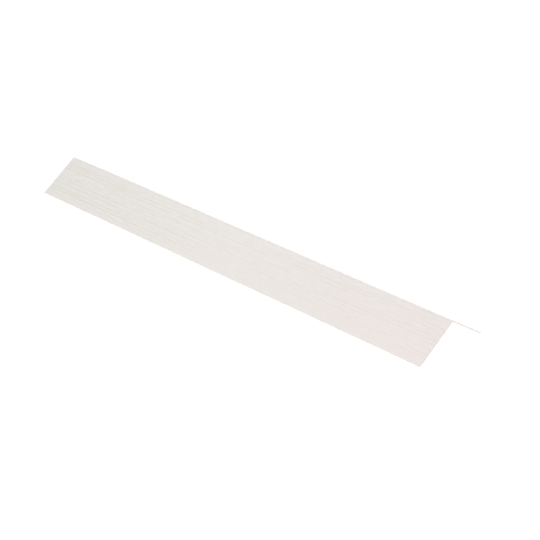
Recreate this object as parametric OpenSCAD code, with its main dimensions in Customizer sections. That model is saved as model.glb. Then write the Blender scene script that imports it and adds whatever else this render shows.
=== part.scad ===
// Siding outside corner: one length of thin, rigid trim with two equal legs.
// The legs meet in a rounded fold, at the angle of the wall that the trim covers.
// It stands unheld with the fold up, like a tent, on the corners of its two free edges.
// The origin is on the floor, under the middle of the fold. X runs along the piece.

/* [Profile] */
// Width of each leg, from the sharp line that its outer face makes at the fold to the free edge
leg_width = 90; // [60:1:150]
// Angle between the inside faces of the two legs
corner_angle = 112.5; // [90:0.5:150]
// Thickness of the wall
wall = 1.5; // [1:0.1:3]

/* [Length] */
// Length of the piece, cut square at both ends
length = 915; // [200:5:3000]

/* [Fold and edges] */
// Radius on the inside of the fold
fold_radius = 0.5; // [0.2:0.1:5]
// Radius that eases both corners of each free edge
edge_radius = 0.4; // [0.1:0.1:0.4]

/* [Hidden] */
// Sides of a full circle
$fn = 64;
// The wall turns through this angle on its way round the fold
fold_turn = 180 - corner_angle;
// How far each leg slopes down from level
leg_slope = fold_turn / 2;
// The outside of the fold is concentric with the inside, so the wall keeps its thickness
fold_outer = fold_radius + wall;
// Width of the flat part of a leg, from the end of the fold to the free edge
flat_width = leg_width - fold_outer * tan(leg_slope);
// How far down a leg the lowest round of its free edge is centred, along the slope
foot_reach = flat_width - edge_radius;
// Height of the fold's axis, at which the free edges just touch the floor
fold_height = foot_reach * sin(leg_slope) - (fold_radius + edge_radius) * cos(leg_slope) + edge_radius;

// Section of one leg, laid flat: X from the fold to the free edge, Y from the inside face out
module leg_section() {
    square([foot_reach, wall]);
    translate([0, edge_radius])
        square([flat_width, wall - 2 * edge_radius]);
    for (round_y = [edge_radius, wall - edge_radius])
        translate([foot_reach, round_y])
            circle(r = edge_radius);
}

// One flat leg, starting where the fold ends and sloping down to its free edge
module leg() {
    rotate([0, 0, -leg_slope])
        translate([0, fold_radius, 0])
            linear_extrude(height = length)
                leg_section();
}

// The wall swept round the fold's axis, from the top of one leg to the top of the other
module fold() {
    rotate([0, 0, 90 - leg_slope])
        rotate_extrude(angle = fold_turn)
            translate([fold_radius, 0])
                square([wall, length]);
}

// The whole profile, drawn with its section in the XY plane and then laid along X
module corner_profile() {
    color("ivory")
        translate([-length / 2, 0, fold_height])
            rotate([90, 0, 90])
                union() {
                    fold();
                    leg();
                    mirror([1, 0, 0])
                        leg();
                }
}

corner_profile();
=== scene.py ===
# %% [markdown]
# # A siding outside corner
# The object is one length of rigid vinyl trim. Two equal legs meet in a tight fold, and the pair
# covers the place where two walls of siding meet. Its outer faces were pressed with a woodgrain
# roll while the vinyl was still warm, so they carry shallow grooves that run along the piece.
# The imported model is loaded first, because everything below is measured from it.

# %% Load the frame
import math

import bmesh
import bpy
import numpy as np
from mathutils.geometry import delaunay_2d_cdt
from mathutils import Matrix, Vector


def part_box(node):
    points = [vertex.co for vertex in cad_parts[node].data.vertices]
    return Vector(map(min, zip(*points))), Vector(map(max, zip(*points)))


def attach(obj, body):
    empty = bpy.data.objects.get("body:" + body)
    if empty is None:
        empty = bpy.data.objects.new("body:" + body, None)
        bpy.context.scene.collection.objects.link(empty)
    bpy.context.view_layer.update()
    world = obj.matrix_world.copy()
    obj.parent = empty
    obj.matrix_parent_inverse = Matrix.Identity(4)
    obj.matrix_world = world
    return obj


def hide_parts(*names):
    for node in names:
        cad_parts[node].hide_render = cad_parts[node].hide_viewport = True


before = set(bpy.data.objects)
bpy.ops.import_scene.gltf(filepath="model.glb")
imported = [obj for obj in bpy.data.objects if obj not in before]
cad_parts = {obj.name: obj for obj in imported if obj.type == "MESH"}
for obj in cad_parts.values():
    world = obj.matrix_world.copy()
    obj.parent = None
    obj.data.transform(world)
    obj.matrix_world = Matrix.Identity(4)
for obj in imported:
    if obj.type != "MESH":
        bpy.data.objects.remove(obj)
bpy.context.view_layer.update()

# %% [markdown]
# ## The sizes that the looks are built on
# A section like this one is a flat strip, folded once. Four sizes say it all: how wide a leg is,
# how thick the wall is, how tight the fold is and how far it turns. The length and the height of
# the fold are read from the model, so the new surface can't drift away from the solid.

# %% Sizes of the section
MM = 0.001
NODE = "corner_profile"
LEG_WIDTH = 90 * MM
WALL = 1.5 * MM
FOLD_RADIUS = 0.5 * MM
EDGE_RADIUS = 0.4 * MM
CORNER_ANGLE = math.radians(112.5)

low, high = (np.array(corner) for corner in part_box(NODE))
LENGTH = high[0] - low[0]
SLOPE = (math.pi - CORNER_ANGLE) / 2
FOLD_OUTER = FOLD_RADIUS + WALL
FOLD_HEIGHT = high[2] - FOLD_OUTER
HALF_FOLD = SLOPE * FOLD_OUTER
HALF_STRIP = HALF_FOLD + LEG_WIDTH - FOLD_OUTER * math.tan(SLOPE)
print(f"length {LENGTH / MM:.1f} mm, strip {2 * HALF_STRIP / MM:.1f} mm wide before folding")

# %% [markdown]
# ## Folding a flat strip
# On the real line the sheet leaves the die and is turned over a former, so every point of it has a
# place across the flat strip and a depth in the wall. Modelling it the same way keeps one simple
# pair of numbers for each point: `across`, from the middle of the fold, and `depth`, from the
# inside face. Bevelling a sharp L would give the same outline, but the grain could not then run
# over the fold without a seam.

# %% The folding function
def fold_strip(across, depth):
    """Place of a point of the flat strip once folded, as its Y and Z.

    Within the fold the point turns about the fold's axis by an angle that grows evenly with
    `across`, at a radius of the inside radius plus `depth`. Past the fold it goes straight on
    along the tangent, down the leg.
    """
    side = np.sign(across)
    turn = np.clip(across / HALF_FOLD, -1, 1) * SLOPE
    down = np.maximum(np.abs(across) - HALF_FOLD, 0)
    radius = FOLD_RADIUS + depth
    y = radius * np.sin(turn) + side * down * np.cos(turn)
    z = FOLD_HEIGHT + radius * np.cos(turn) - down * np.abs(np.sin(turn))
    return y, z


foot_y, foot_z = fold_strip(np.array([HALF_STRIP]), np.array([WALL]))
print(f"outer corner of the free edge: Y {foot_y[0] / MM:.2f} mm, Z {foot_z[0] / MM:.2f} mm")

# %% [markdown]
# ## Going once round the section
# The outline is a closed ring of points: over the outer face from one free edge to the other,
# round the eased corners of that edge, back along the inside, and round the other edge. The outer
# face needs a point every 0.4 mm, because the grain is drawn by these points. The inside is plain
# and needs few, but some of them stand close beside the fold and the free edges. Without these,
# smooth shading would spread the turn of the surface over the whole next face. A Solidify modifier
# could grow the inside from the outside, but it would carry the grain through the wall.

# %% The ring of section points
FACE_STEPS = 206
BACK_POINTS = 12
FOLD_STEPS = 10
ROUND_STEPS = 4
CLOSE_BY = 0.4 * MM
OUTSIDE, INSIDE, SAWN = 0, 1, 2


def spread(start, stop, steps):
    """Evenly spaced numbers from start up to, and without, stop."""
    return np.linspace(start, stop, steps, endpoint=False)


def section_ring(inset):
    """The ring's `across`, `depth` and kind, drawn in from the true surface by `inset` all round.

    The straight stretches are evenly spaced, and the points where they meet a free edge belong
    to that edge. Each corner of an edge is a quarter circle about a fixed centre, so its radius
    shrinks by the inset and the rings stay parallel. A point's kind is that of the stretch from it
    to the next point, so the inside starts at the last point of the first edge.
    """
    reach = HALF_STRIP - EDGE_RADIUS
    radius = EDGE_RADIUS - inset
    quarter = np.linspace(0, math.pi / 2, ROUND_STEPS + 1)
    over = np.concatenate([
        spread(-reach, -HALF_FOLD, FACE_STEPS),
        spread(-HALF_FOLD, HALF_FOLD, FOLD_STEPS),
        spread(HALF_FOLD, reach, FACE_STEPS),
    ])[1:]
    back = np.concatenate([
        np.linspace(reach - CLOSE_BY, HALF_FOLD + CLOSE_BY, BACK_POINTS),
        np.linspace(HALF_FOLD, -HALF_FOLD, FOLD_STEPS + 1),
        np.linspace(-HALF_FOLD - CLOSE_BY, CLOSE_BY - reach, BACK_POINTS),
    ])
    edge_across = np.concatenate([reach + radius * np.sin(quarter), reach + radius * np.cos(quarter)])
    edge_depth = np.concatenate([
        WALL - EDGE_RADIUS + radius * np.cos(quarter),
        EDGE_RADIUS - radius * np.sin(quarter),
    ])
    across = np.concatenate([over, edge_across, back, -edge_across[::-1]])
    depth = np.concatenate([
        np.full(len(over), WALL - inset), edge_depth, np.full(len(back), inset), edge_depth[::-1],
    ])
    counts = [len(over), len(edge_across) - 1, len(back) + 1, len(edge_across)]
    kind = np.repeat([OUTSIDE, OUTSIDE, INSIDE, OUTSIDE], counts)
    return across, depth, kind


ring_across, ring_depth, ring_kind = section_ring(0)
print(len(ring_across), "points round the section")

# %% [markdown]
# ## Smooth noise on whole arrays
# Wood never repeats, so the grain needs chance that is smooth at a chosen size. Value noise is the
# simplest kind: chance heights on a lattice, blended in between. A long cell along the piece and
# a short one across it give the stretched look of grain. Blender has noise functions of its own,
# but they answer for one point at a time, and this mesh has tens of thousands.

# %% Value noise
def smooth_noise(along, across, cell_along, cell_across, seed):
    """Heights from -1 to 1 at each point, chance at the lattice's corners and smooth in between.

    The point's place in its cell, f, is eased to f^3 (6 f^2 - 15 f + 10) in both directions,
    and the four corner heights are mixed by the eased values.
    """
    a, b = along / cell_along, across / cell_across
    ia, ib = np.floor(a).astype(int), np.floor(b).astype(int)
    fa, fb = a - ia, b - ib
    fa, fb = (f ** 3 * (6 * f ** 2 - 15 * f + 10) for f in (fa, fb))
    ia, ib = ia - ia.min(), ib - ib.min()
    heights = np.random.default_rng(seed).uniform(-1, 1, (ia.max() + 2, ib.max() + 2))
    low_side = heights[ia, ib] * (1 - fa) + heights[ia + 1, ib] * fa
    high_side = heights[ia, ib + 1] * (1 - fa) + heights[ia + 1, ib + 1] * fa
    return low_side * (1 - fb) + high_side * fb


trial = np.linspace(0, 10, 500)
trial_noise = smooth_noise(trial, 0 * trial, cell_along=1, cell_across=1, seed=1)
print(f"a trial over ten cells goes from {trial_noise.min():.2f} to {trial_noise.max():.2f}")

# %% [markdown]
# ## The pressed grain
# A woodgrain roll copies straight-grained cedar: nearly parallel grooves about 8 mm apart, with
# finer ones between them that start and stop. It could be left to a bump pattern, but at a low
# angle the grooves have to catch real light and break the line of the cut ends, so they are real
# relief. Each set of grooves divides the strip into lanes. A lane holds one groove, shifted by
# chance within the lane, and its strength rises and falls along the piece, so that no groove runs
# from end to end unchanged.

# %% Grooves in lanes
SHIFT_IN_LANE = 0.2
STRENGTH_CHANGE = 0.65


def grooves(along, across, spacing, width, run, usual, seed):
    """Depth from 0 to 1 of grooves about `spacing` apart and `width` wide that last about `run`.

    The profile across a groove is the bell curve exp(-(distance / width)^2). Its strength is
    `usual` plus 0.65 times value noise along the lane, with a cell of half the run, cut at 0
    and 1.
    """
    lane = np.floor(across / spacing)
    lane_number = (lane - lane.min()).astype(int)
    chance = np.random.default_rng(seed).uniform(-SHIFT_IN_LANE, SHIFT_IN_LANE, lane_number.max() + 1)
    distance = across - (lane + 0.5 + chance[lane_number]) * spacing
    strength = usual + STRENGTH_CHANGE * smooth_noise(along, lane, run / 2, 1.0, seed + 1)
    return np.exp(-(distance / width) ** 2) * np.clip(strength, 0, 1)


trial_lane = grooves(0 * trial, trial * MM, spacing=10 * MM, width=1 * MM, run=1, usual=1, seed=1)
print(f"a trial lane 10 mm wide has its groove {trial[trial_lane.argmax()]:.1f} mm from one side")

# %% [markdown]
# ## Three sets of grooves and a swell
# The main grooves stand for the soft wood between year rings, the second set for rings that come
# and go, and the fine set for single fibres that were torn out. The strip is bent a little before
# the lanes are laid on it, so that neighbouring grooves wander together, as rings do. A broad, low
# swell under them gives slow bands of light and shade. Past the middle all of it runs shorter, as
# in a board that was cut closer to a knot.

# %% The whole grain
WANDER = [
    dict(size=1.5 * MM, cell_along=520 * MM, cell_across=60 * MM, seed=11),
    dict(size=0.5 * MM, cell_along=140 * MM, cell_across=21 * MM, seed=12),
]
GROOVE_SETS = [
    dict(share=0.55, spacing=7.8 * MM, width=1.1 * MM, run=300 * MM, usual=0.5, seed=21),
    dict(share=0.35, spacing=5.9 * MM, width=0.9 * MM, run=160 * MM, usual=0.2, seed=31),
    dict(share=0.6, spacing=2.6 * MM, width=0.5 * MM, run=40 * MM, usual=0.15, seed=41),
]
SWELL = dict(cell_along=260 * MM, cell_across=8.5 * MM, seed=51)
SHORTER_FROM = -60 * MM
SHORTER_OVER = 60 * MM
SHORTER_BY = 1.6


def grain(along, across):
    """Groove depth from 0 to 1 and the broad swell from -1 to 1, at each point of the outer face.

    The place along the piece is moved on by 1.6 p^2 / (p + 60 mm), where p is the way past
    SHORTER_FROM, which makes every cell there up to 2.6 times shorter. The grooves are laid on a
    bent coordinate, `across` plus slow noise. The sets are added by their shares, and the sum is
    held to 1.
    """
    past = np.maximum(along - SHORTER_FROM, 0)
    along = along + SHORTER_BY * past ** 2 / (past + SHORTER_OVER)
    bent = across.copy()
    for wander in WANDER:
        cells = {name: value for name, value in wander.items() if name != "size"}
        bent += wander["size"] * smooth_noise(along, across, **cells)
    depth = np.zeros_like(across)
    for groove_set in GROOVE_SETS:
        shape = {name: value for name, value in groove_set.items() if name != "share"}
        depth += groove_set["share"] * grooves(along, bent, **shape)
    return np.clip(depth, 0, 1), smooth_noise(along, bent, **SWELL)


for groove_set in GROOVE_SETS:
    lanes = 2 * HALF_STRIP / groove_set["spacing"]
    print(f"{lanes:.0f} lanes, each {groove_set['spacing'] / MM:.1f} mm wide")

# %% [markdown]
# ## How hard the roll presses
# The grain is shallow beside the fold and towards the free edges, where the roll presses less, and
# it fades out over the last millimetres before an edge. It is deepest on the far half, towards -X,
# faintest just past the middle, and clearer again at the near end. On the near half it also fades
# down the leg, as if the roll stood a little askew. A real roll presses in about 0.2 mm. Here the
# grooves are up to 0.4 mm deep, and the swell sinks up to 0.56 mm below the true surface, because
# less than that would not show from a few metres away.

# %% Pressure of the roll
GROOVE_DEPTH = 0.40 * MM
SWELL_DEPTH = 0.28 * MM
BESIDE_FOLD = (3 * MM, 13 * MM)
BESIDE_EDGE = (7 * MM, 19 * MM)
LAST_OF_EDGE = (0.6 * MM, 2.6 * MM)
PRESS_AT_FOLD = 0.45
PRESS_AT_EDGE = 0.45
PLACES_ALONG = (-120 * MM, 0, 130 * MM, 200 * MM)
PRESS_ALONG = (1, 0.62, 0.62, 0.85)
FADE_DOWN_LEG = 0.5


def ease(value, start, stop):
    """0 below start, 1 above stop and the smooth step 3f^2 - 2f^3 between them."""
    f = np.clip((value - start) / (stop - start), 0, 1)
    return f * f * (3 - 2 * f)


def between(lowest, share):
    """A number that goes from `lowest` to 1 as the share goes from 0 to 1."""
    return lowest + (1 - lowest) * share


def pressure(along, across):
    """How hard the roll presses, from 0 to 1, as a product.

    Three factors are eased steps in the distance from the fold and from the free edge. One is
    a line through the pressures at four places along the piece. The last is 1 on the far half,
    and on the near half it falls evenly from 1 at the fold to 0.5 at the free edge.
    """
    from_fold, from_edge = np.abs(across), HALF_STRIP - np.abs(across)
    at_fold = between(PRESS_AT_FOLD, ease(from_fold, *BESIDE_FOLD))
    at_edge = between(PRESS_AT_EDGE, ease(from_edge, *BESIDE_EDGE)) * ease(from_edge, *LAST_OF_EDGE)
    by_length = np.interp(along, PLACES_ALONG, PRESS_ALONG)
    on_near_half = ease(along, *PLACES_ALONG[:2])
    down_leg = 1 - FADE_DOWN_LEG * on_near_half * from_fold / HALF_STRIP
    return by_length * down_leg * at_fold * at_edge


far_and_near = pressure(np.array([-LENGTH / 4, LENGTH / 4]), HALF_STRIP / 2)
print("pressure in the middle of a leg, far and near half:", far_and_near.round(2))

# %% [markdown]
# ## From strip to skin
# The rings are now placed along the piece. The relief only changes a point's depth, before
# folding. The saw leaves a small chamfer at both ends. A Bevel modifier would trip over the broken
# line of the grooves there, so the chamfer is one more ring at each end, drawn in all round.

# %% Rings along the piece, with their relief
CHAMFER = 0.12 * MM
RINGS = 186

along_rings = np.linspace(-LENGTH / 2 + CHAMFER, LENGTH / 2 - CHAMFER, RINGS)
along = np.concatenate([[-LENGTH / 2], along_rings, [LENGTH / 2]])
inset_across, inset_depth, _ = section_ring(CHAMFER)
across = np.tile(ring_across, (len(along), 1))
depth = np.tile(ring_depth, (len(along), 1))
across[[0, -1]] = inset_across
depth[[0, -1]] = inset_depth
x = np.repeat(along[:, None], across.shape[1], axis=1)

groove, swell = grain(x, across)
pressed = (ring_kind == OUTSIDE) * pressure(x, across)
groove = groove * pressed
depth = depth - GROOVE_DEPTH * groove + SWELL_DEPTH * (swell - 1) * pressed
thinnest = depth[:, :2 * FACE_STEPS + FOLD_STEPS - 1].min()
deepest = GROOVE_DEPTH * groove.max()
print(f"deepest groove {deepest / MM:.2f} mm, thinnest wall {thinnest / MM:.2f} mm")

# %% [markdown]
# ## A little slack
# A wall as thin as this is never dead flat. Halfway down a leg it wavers inwards by up to a third
# of a millimetre, over a hand's width or two, while the fold keeps it straight above and the free
# edge rests on the floor below. It is too little to see as a shape, but light that grazes a leg
# shows it as slow, soft changes of tone. A simulated sheet would have to be caught before it left
# the solid, and a formula stays inside by itself.

# %% Slack of the legs
SLACK = 0.32 * MM
WAVER = dict(cell_along=170 * MM, cell_across=42 * MM, seed=61)


def slack(along, across):
    """How far the wall has moved inwards: none at the fold, the free edges and both ends.

    It is the largest slack times 4f(1 - f) * (1 - e^2) * (1 + noise) / 2, where f is the share of
    the way from the fold to the free edge, and e the share of the way from the middle to an end.
    """
    from_fold = np.abs(across) / HALF_STRIP
    halfway = 4 * from_fold * (1 - from_fold)
    towards_end = 2 * along / LENGTH
    waver = smooth_noise(along, across, **WAVER)
    return SLACK * halfway * (1 - towards_end ** 2) * (1 + waver) / 2


depth = depth - slack(x, across)
print(f"slack: {slack(x, across).max() / MM:.2f} mm at most")

# %% [markdown]
# ## Faces round the section
# Neighbouring rings are joined by four-sided faces. The corners of a face go round it
# anticlockwise as seen from outside, because that is what makes it point outwards. Blender could
# work out the directions afterwards, but a grid gets them right in one rule.

# %% Four-sided faces
def ring_faces(rings, points):
    """Corner numbers of the faces between neighbouring rings, as an array of four columns.

    A face goes from a point of one ring to the same point of the next, on to the point ahead,
    and back to the first ring.
    """
    first = np.arange(rings - 1)[:, None] * points
    here = np.arange(points)[None, :]
    ahead = (here + 1) % points
    return np.stack([first + here, first + points + here, first + points + ahead, first + ahead], -1)


y, z = fold_strip(across, depth)
rings, points = x.shape
quads = ring_faces(rings, points).reshape(-1, 4)
print(len(quads), "four-sided faces")

# %% [markdown]
# ## Faces of the cut ends
# The saw leaves each end flat, so one face with hundreds of corners could close it. On export such
# a face is split with no care for shape, and the points along its straight inside give triangles
# of next to no height. The ends are therefore split here, by the empty-circle rule, which keeps
# the triangles as full as the points allow.

# %% Triangles of the cut ends
TRIANGLES_INSIDE = 1
SAME_POINT = 1e-5 * MM


def end_faces(ring_y, ring_z):
    """Corner numbers of the triangles that fill one ring, anticlockwise as seen from +X.

    By the empty-circle rule, the circle through a triangle's corners holds no other point of
    the ring, apart from points that the outline hides from the triangle.
    """
    corners = np.stack([ring_y, ring_z], -1).tolist()
    outline = list(range(len(corners)))
    _, _, faces, *_ = delaunay_2d_cdt(corners, [], [outline], TRIANGLES_INSIDE, SAME_POINT)
    return np.array(faces)


first_cap = end_faces(y[0], z[0])[:, ::-1]
last_cap = end_faces(y[-1], z[-1]) + (rings - 1) * points
print(len(first_cap), "and", len(last_cap), "triangles close the ends")

# %% [markdown]
# ## The mesh
# All points and faces go into one mesh. A Join of three meshes would give the same skin, but its
# seams would have to be merged afterwards. Two numbers test the result: on a closed skin no edge
# is open, and the volume of a skin that is inside out is less than none.

# %% Points and faces in one mesh
skin_mesh = bpy.data.meshes.new("woodgrain_corner")
skin_mesh.from_pydata(
    np.stack([x, y, z], -1).reshape(-1, 3).tolist(),
    [],
    [*quads.tolist(), *first_cap.tolist(), *last_cap.tolist()],
)
skin = bpy.data.objects.new("woodgrain_corner", skin_mesh)
bpy.context.collection.objects.link(skin)
triangles = 2 * len(quads) + len(first_cap) + len(last_cap)
print(f"{len(skin_mesh.vertices)} points, {triangles} triangles")

closed_skin = bmesh.new()
closed_skin.from_mesh(skin_mesh)
open_edges = sum(not edge.is_manifold for edge in closed_skin.edges)
volume = closed_skin.calc_volume(signed=True)
closed_skin.free()
print(f"{open_edges} open edges, volume {volume / MM ** 3:.0f} mm3")

# %% [markdown]
# ## A map in metres
# The finishes need to know where they are on the strip. Object coordinates would do on a flat
# board, but here they would cut through the fold at an angle. The map gives the length by the
# distance round the section, and on the cut ends Y by Z, all in metres. A pattern drawn on it
# keeps its real size and runs over the fold unbroken. The depth of the grooves and the pressure
# of the roll go along as attributes, so that the finish can follow them.

# %% Map, attributes and face kinds
SHARP_FROM = math.radians(35)

step = np.hypot(np.diff(ring_across, append=ring_across[0]), np.diff(ring_depth, append=ring_depth[0]))
round_start = np.concatenate([[0], np.cumsum(step)])
u = np.stack([x[:-1], x[1:], x[1:], x[:-1]], -1)
v_row = np.stack([round_start[:-1], round_start[:-1], round_start[1:], round_start[1:]], -1)
v = np.broadcast_to(v_row, u.shape)
caps = np.concatenate([first_cap, last_cap])
cap_map = np.stack([y.reshape(-1)[caps], z.reshape(-1)[caps]], -1).reshape(-1, 2)
uv = np.concatenate([np.stack([u, v], -1).reshape(-1, 2), cap_map])
skin_mesh.uv_layers.new(name="strip").data.foreach_set("uv", uv.reshape(-1))

for name, values in (("groove", groove), ("pressed", pressed)):
    layer = skin_mesh.attributes.new(name, "FLOAT", "POINT")
    layer.data.foreach_set("value", values.reshape(-1))

face_kind = np.concatenate([np.tile(ring_kind, rings - 1), np.full(len(caps), SAWN)])
skin_mesh.polygons.foreach_set("material_index", face_kind)
skin_mesh.polygons.foreach_set("use_smooth", face_kind != SAWN)
skin_mesh.set_sharp_from_angle(angle=SHARP_FROM)
skin_mesh.update()
print("map:", np.ptp(uv, axis=0).round(3), "m")

# %% [markdown]
# ## Colours and helpers for nodes
# Colours are written as the screen shows them and turned to linear light by one function. A node
# tree is easier to read when adding a node, setting it and wiring it are one statement. The Mix
# node has several sockets of each name, so its colour sockets go by their numbers.

# %% Colour and node helpers
COLOUR_A, COLOUR_B, MIXED = 6, 7, 2


def linear(hex_colour):
    """Linear red, green, blue and alpha of an sRGB colour such as #F0EDE6.

    Each channel c, from 0 to 1, becomes ((c + 0.055) / 1.055)^2.4.
    """
    channels = [int(hex_colour[i:i + 2], 16) / 255 for i in (1, 3, 5)]
    return (*(((c + 0.055) / 1.055) ** 2.4 for c in channels), 1)


def add(tree, kind, links=None, values=None, **settings):
    """Adds a node, sets its properties and input values, and links its inputs from sockets."""
    node = tree.nodes.new(kind)
    for name, value in settings.items():
        setattr(node, name, value)
    for name, value in (values or {}).items():
        node.inputs[name].default_value = value
    for name, socket in (links or {}).items():
        tree.links.new(socket, node.inputs[name])
    return node


def pattern_scale(size_along, size_across):
    """Mapping scale that makes a pattern's unit this long and this wide on the strip map."""
    return 1 / size_along, 1 / size_across, 1


def new_material(name, **values):
    """An empty material with a Principled BSDF on its output; returns it, its tree and the shader."""
    material = bpy.data.materials.new(name)
    material.use_nodes = True
    tree = material.node_tree
    tree.nodes.clear()
    shader = add(tree, "ShaderNodeBsdfPrincipled", values=values)
    add(tree, "ShaderNodeOutputMaterial", {"Surface": shader.outputs[0]})
    return material, tree, shader


print("off-white in linear light:", np.round(linear("#F0EDE6"), 3))

# %% [markdown]
# ## Streaks between the grooves
# Close to, pressed cedar has more than grooves. Soft fibres lie between them, about a millimetre
# wide and 20 mm long, and over these come open pores, as shorter and narrower dashes. A Wave
# texture would bring them back at even steps, which wood never does, so both are stretched noise.
# A real fibre or pore is as fine as a hair. Both are drawn several times coarser, because a
# pattern of its true size would melt into one flat tone.

# %% Fibres and pores
FIBRES = dict(size=(20 * MM, 1.2 * MM), starts=0.42, full=0.68, share=0.45, colour="#E2DDD4")
PORES = dict(size=(12 * MM, 0.5 * MM), starts=0.55, full=0.72, share=0.6, colour="#D9D3C9")


def streaked(tree, strip, tone, size, starts, full, share, colour):
    """The tone with streaks of another colour over it, and the noise that they come from.

    Where the noise is below `starts` the tone stays as it was. From there to `full` the share of
    the streaks' colour grows evenly from 0 to `share`.
    """
    place = add(tree, "ShaderNodeMapping", {"Vector": strip}, {"Scale": pattern_scale(*size)})
    noise = add(
        tree, "ShaderNodeTexNoise", {"Vector": place.outputs[0]},
        {"Scale": 1.0, "Detail": 3.0, "Roughness": 0.6},
    ).outputs["Fac"]
    amount = add(
        tree, "ShaderNodeMapRange", {"Value": noise},
        {"From Min": starts, "From Max": full, "To Max": share},
    )
    mixed = add(
        tree, "ShaderNodeMix", {"Factor": amount.outputs[0], COLOUR_A: tone},
        {COLOUR_B: linear(colour)}, data_type="RGBA",
    )
    return mixed.outputs[MIXED], noise


for name, streak in (("fibres", FIBRES), ("pores", PORES)):
    print(name, "{:.0f} by {:.1f} mm".format(*np.divide(streak["size"], MM)))

# %% [markdown]
# ## Embossed rigid vinyl, the outer faces
# The material is PVC with a weatherproof cap, coloured right through to an off-white, so there
# is no paint to chip. It was pressed warm, which leaves a satin skin that is a little duller in the
# grooves. To the eye it is nearly flat in colour: what shows the grain is the relief, a painted
# shade with a trace of dust at the bottom of the grooves, and the streaks between them. Where the
# roll pressed less, the streaks melt into one even tone. The pores are pressed in as well. A bump
# is enough for that, because they are too small to change an outline.

# %% Embossed vinyl
VINYL_IOR = 1.54
CLOUD_SIZE = (150 * MM, 24 * MM)
PORE_DEPTH = 0.09 * MM
# Painted shade, with a trace of dust: the share of the groove colour at the deepest groove.
GROOVE_SHADE_AND_DUST = 0.64
LEAST_CLEAR = 0.3


def embossed_vinyl():
    """Outer faces: warm off-white with fibres and pores; duller in the grooves, with painted shade
    there.
    """
    material, tree, shader = new_material("embossed_vinyl", IOR=VINYL_IOR)
    strip = add(tree, "ShaderNodeUVMap", uv_map="strip").outputs[0]
    place = add(tree, "ShaderNodeMapping", {"Vector": strip}, {"Scale": pattern_scale(*CLOUD_SIZE)})
    clouds = add(tree, "ShaderNodeTexNoise", {"Vector": place.outputs[0]}, {"Scale": 1.0, "Detail": 2.0})
    plain = add(
        tree, "ShaderNodeMix", {"Factor": clouds.outputs["Fac"]},
        {COLOUR_A: linear("#F1EFEB"), COLOUR_B: linear("#F2F0ED")}, data_type="RGBA",
    )
    tone, _ = streaked(tree, strip, plain.outputs[MIXED], **FIBRES)
    tone, pores = streaked(tree, strip, tone, **PORES)
    pressed = add(tree, "ShaderNodeAttribute", attribute_name="pressed").outputs["Fac"]
    clear = add(tree, "ShaderNodeMapRange", {"Value": pressed}, {"To Min": LEAST_CLEAR}).outputs[0]
    melted = add(
        tree, "ShaderNodeMix", {"Factor": clear, COLOUR_B: tone},
        {COLOUR_A: linear("#EFECE7")}, data_type="RGBA",
    )
    # Painted shade with a trace of dust: the deeper the groove, the more its base colour goes to
    # #D8D3CA.
    groove_depth = add(tree, "ShaderNodeAttribute", attribute_name="groove").outputs["Fac"]
    shade = add(tree, "ShaderNodeMapRange", {"Value": groove_depth}, {"To Max": GROOVE_SHADE_AND_DUST})
    shaded = add(
        tree, "ShaderNodeMix", {"Factor": shade.outputs[0], COLOUR_A: melted.outputs[MIXED]},
        {COLOUR_B: linear("#D8D3CA")}, data_type="RGBA",
    )
    dull = add(tree, "ShaderNodeMapRange", {"Value": groove_depth}, {"To Min": 0.46, "To Max": 0.62})
    pressed_in = add(
        tree, "ShaderNodeBump", {"Height": pores, "Strength": clear}, {"Distance": PORE_DEPTH},
        invert=True,
    )
    tree.links.new(shaded.outputs[MIXED], shader.inputs["Base Color"])
    tree.links.new(dull.outputs[0], shader.inputs["Roughness"])
    tree.links.new(pressed_in.outputs[0], shader.inputs["Normal"])
    return material


outer_finish = embossed_vinyl()
print(f"{outer_finish.name}: {len(outer_finish.node_tree.nodes)} nodes")

# %% [markdown]
# ## Extruded vinyl, the inside faces
# The inside never meets the grain roll. It keeps the skin of the extrusion die: smoother and
# glossier, with hair lines that run the whole length where the die dragged. They are far too
# shallow to model, so one stretched noise gives them their colour, gloss and bump. They are drawn
# 0.9 mm wide, several times the real width, because they would not show otherwise.

# %% Extruded back
DIE_LINE_SIZE = (1200 * MM, 0.9 * MM)
DIE_LINE_DEPTH = 0.02 * MM


def extruded_back():
    """Inside faces: satin and nearly even, with long die lines in colour, bump and roughness."""
    material, tree, shader = new_material("extruded_vinyl_back", IOR=VINYL_IOR)
    strip = add(tree, "ShaderNodeUVMap", uv_map="strip").outputs[0]
    place = add(tree, "ShaderNodeMapping", {"Vector": strip}, {"Scale": pattern_scale(*DIE_LINE_SIZE)})
    noise = add(tree, "ShaderNodeTexNoise", {"Vector": place.outputs[0]}, {"Scale": 1.0, "Detail": 2.0})
    lines = noise.outputs["Fac"]
    tone = add(
        tree, "ShaderNodeMix", {"Factor": lines},
        {COLOUR_A: linear("#EBE8E2"), COLOUR_B: linear("#F2F0EB")}, data_type="RGBA",
    )
    gloss = add(tree, "ShaderNodeMapRange", {"Value": lines}, {"To Min": 0.34, "To Max": 0.46})
    dragged = add(tree, "ShaderNodeBump", {"Height": lines}, {"Distance": DIE_LINE_DEPTH})
    tree.links.new(tone.outputs[MIXED], shader.inputs["Base Color"])
    tree.links.new(gloss.outputs[0], shader.inputs["Roughness"])
    tree.links.new(dragged.outputs[0], shader.inputs["Normal"])
    return material


inner_finish = extruded_back()
print(f"{inner_finish.name}: {len(inner_finish.node_tree.nodes)} nodes")

# %% [markdown]
# ## Sawn vinyl, the cut ends
# A fine saw crosses the profile. It opens the solid colour of the vinyl and leaves a matt face
# with faint strokes, 0.3 mm apart, that run down through the wall. The map of the strip has no
# room for them, because the whole end lies at one place along it, so they go by Y and Z. The face
# is only as wide as the wall is thick, and from above the near leg it is all that shows of the
# far leg.

# %% Sawn ends
SAW_STROKE_SIZE = (0.3 * MM, 2 * MM)
SAW_STROKE_DEPTH = 0.04 * MM


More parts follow.
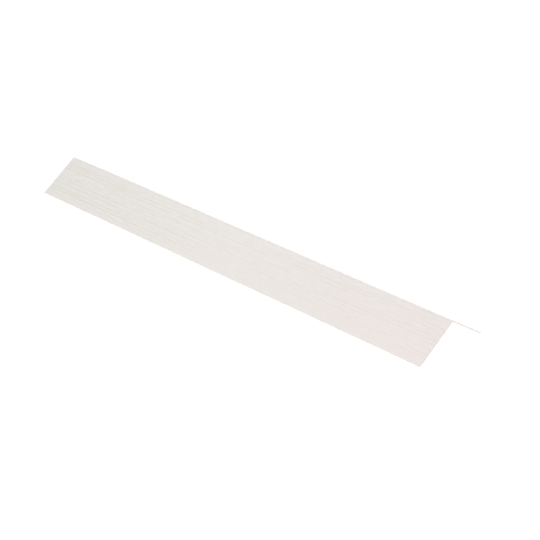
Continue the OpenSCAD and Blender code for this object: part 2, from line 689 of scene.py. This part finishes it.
def sawn_end():
    """Cut ends: matt, with upright saw strokes in colour and bump, on the map of Y by Z."""
    material, tree, shader = new_material("sawn_vinyl_end", IOR=VINYL_IOR, Roughness=0.65)
    strip = add(tree, "ShaderNodeUVMap", uv_map="strip").outputs[0]
    place = add(tree, "ShaderNodeMapping", {"Vector": strip}, {"Scale": pattern_scale(*SAW_STROKE_SIZE)})
    noise = add(tree, "ShaderNodeTexNoise", {"Vector": place.outputs[0]}, {"Scale": 1.0, "Detail": 2.0})
    strokes = noise.outputs["Fac"]
    tone = add(
        tree, "ShaderNodeMix", {"Factor": strokes},
        {COLOUR_A: linear("#EAE7E1"), COLOUR_B: linear("#F1EEE9")}, data_type="RGBA",
    )
    rough_cut = add(tree, "ShaderNodeBump", {"Height": strokes}, {"Distance": SAW_STROKE_DEPTH})
    tree.links.new(tone.outputs[MIXED], shader.inputs["Base Color"])
    tree.links.new(rough_cut.outputs[0], shader.inputs["Normal"])
    return material


end_finish = sawn_end()
print(f"{end_finish.name}: {len(end_finish.node_tree.nodes)} nodes")

# %% [markdown]
# ## Dressing the skin
# The finishes go on in the order of the face kinds. The skin then takes the place of the plain
# solid in the pictures. It rides on the only body there is.

# %% Finishes and body
for finish in (outer_finish, inner_finish, end_finish):
    skin_mesh.materials.append(finish)

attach(skin, "root")
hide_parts(NODE)
print(skin.name, "replaces", NODE, "with", [material.name for material in skin_mesh.materials])

# %% [markdown]
# ## The camera
# A long lens from a few metres away, level, looking down at about 27 degrees onto the near leg. At
# that height the far leg is seen almost exactly along its own slope, so only its cut end shows. A
# few degrees higher would bare its outer face, and a few degrees lower its inside, so the numbers
# are fitted ones.

# %% Camera
LENS = 101.946
SENSOR = 36
AZIMUTH = math.radians(44.7389)
ELEVATION = math.radians(26.9271)
DISTANCE = 2.5904
TARGET = np.array([0.0693, -0.0030, 0.0])

towards_camera = np.array([
    math.sin(AZIMUTH) * math.cos(ELEVATION),
    -math.cos(AZIMUTH) * math.cos(ELEVATION),
    math.sin(ELEVATION),
])
camera = bpy.data.objects.new("camera", bpy.data.cameras.new("camera"))
camera.data.lens = LENS
camera.data.sensor_width = SENSOR
camera.location = TARGET + towards_camera * DISTANCE
camera.rotation_euler = (math.pi / 2 - ELEVATION, 0, AZIMUTH)
bpy.context.collection.objects.link(camera)
bpy.context.scene.camera = camera
print("camera at", np.round(camera.location, 3))

# %% [markdown]
# ## The floor
# The piece lies on pure white without a shadow, as on a lit table. Light alone could bring a white
# floor there, but it would bleach the vinyl as well. The floor is therefore dark in itself and
# gives nearly all its light of its own, so it stays white and shows no shadow.

# %% Floor
FLOOR_HALF = 14.0
TABLE_GLOW = 0.94

floor_mesh = bpy.data.meshes.new("floor")
floor_mesh.from_pydata(
    [(sx * FLOOR_HALF, sy * FLOOR_HALF, 0) for sx, sy in ((-1, -1), (1, -1), (1, 1), (-1, 1))],
    [], [(0, 1, 2, 3)],
)
floor = bpy.data.objects.new("floor", floor_mesh)
bpy.context.collection.objects.link(floor)
table_top, _, _ = new_material("lit_table", **{
    "Base Color": linear("#595959"),
    "Roughness": 0.9,
    "Emission Color": (1, 1, 1, 1),
    "Emission Strength": TABLE_GLOW,
})
floor_mesh.materials.append(table_top)
print(f"floor {2 * FLOOR_HALF:.0f} m square")

# %% [markdown]
# ## Soft light
# Two soft boxes hang on the two sides of the fold, so both legs are lit evenly and each groove has
# one wall that is a little brighter. Their faint tints nearly cancel. A small rosy card, low beside
# the near end, gives that end its slightly warmer white.

# %% Soft boxes
def soft_box(name, place, size, watts, tint):
    """A square area light at place, turned to face the middle of the piece.

    It shines along its own -Z. So it is tilted about Y by the angle between -Z and the way to
    the middle, and then turned about Z to that way's bearing.
    """
    light = bpy.data.lights.new(name, "AREA")
    light.shape = "SQUARE"
    light.size = size
    light.energy = watts
    light.color = linear(tint)[:3]
    lamp = bpy.data.objects.new(name, light)
    lamp.location = place
    toward = -np.array(place) / np.linalg.norm(place)
    lamp.rotation_euler = (0, -math.acos(-toward[2]), math.atan2(toward[1], toward[0]))
    lamp.visible_camera = False
    bpy.context.collection.objects.link(lamp)
    print(f"{name}: {watts} W, {np.linalg.norm(place):.1f} m away")


soft_box("far_side", place=(0.15, 1.9, 2.2), size=1.6, watts=39, tint="#FFFAFB")
soft_box("near_side", place=(-0.1, -1.35, 1.58), size=1.2, watts=16.6, tint="#FAFFF8")
soft_box("rosy_card", place=(0.75, -0.75, 0.45), size=0.4, watts=0.75, tint="#FF84CC")

# %% [markdown]
# ## Room light
# The room is bright at the height of the eye and dims upwards. Its lowest part has to be as white
# as the floor, because a low camera sees the two meet. The Standard view shows each colour as it
# was set, which a filmic one would not.

# %% Room light
GLOW_AT_HORIZON = 1.05
GLOW_ABOVE = 0.37
DIMS_BETWEEN = (0.02, 0.4)

world = bpy.data.worlds.new("studio")
bpy.context.scene.world = world
world.use_nodes = True
sky = world.node_tree
sky.nodes.clear()
direction = add(sky, "ShaderNodeTexCoord").outputs["Generated"]
height = add(sky, "ShaderNodeSeparateXYZ", {"Vector": direction}).outputs["Z"]
glow = add(
    sky, "ShaderNodeMapRange", {"Value": height},
    {"From Min": DIMS_BETWEEN[0], "From Max": DIMS_BETWEEN[1],
     "To Min": GLOW_AT_HORIZON, "To Max": GLOW_ABOVE},
)
background = add(
    sky, "ShaderNodeBackground", {"Strength": glow.outputs[0]}, {"Color": (1, 1, 1, 1)},
)
add(sky, "ShaderNodeOutputWorld", {"Surface": background.outputs[0]})
bpy.context.scene.view_settings.view_transform = "Standard"
print(f"room light falls from {GLOW_AT_HORIZON} to {GLOW_ABOVE}")
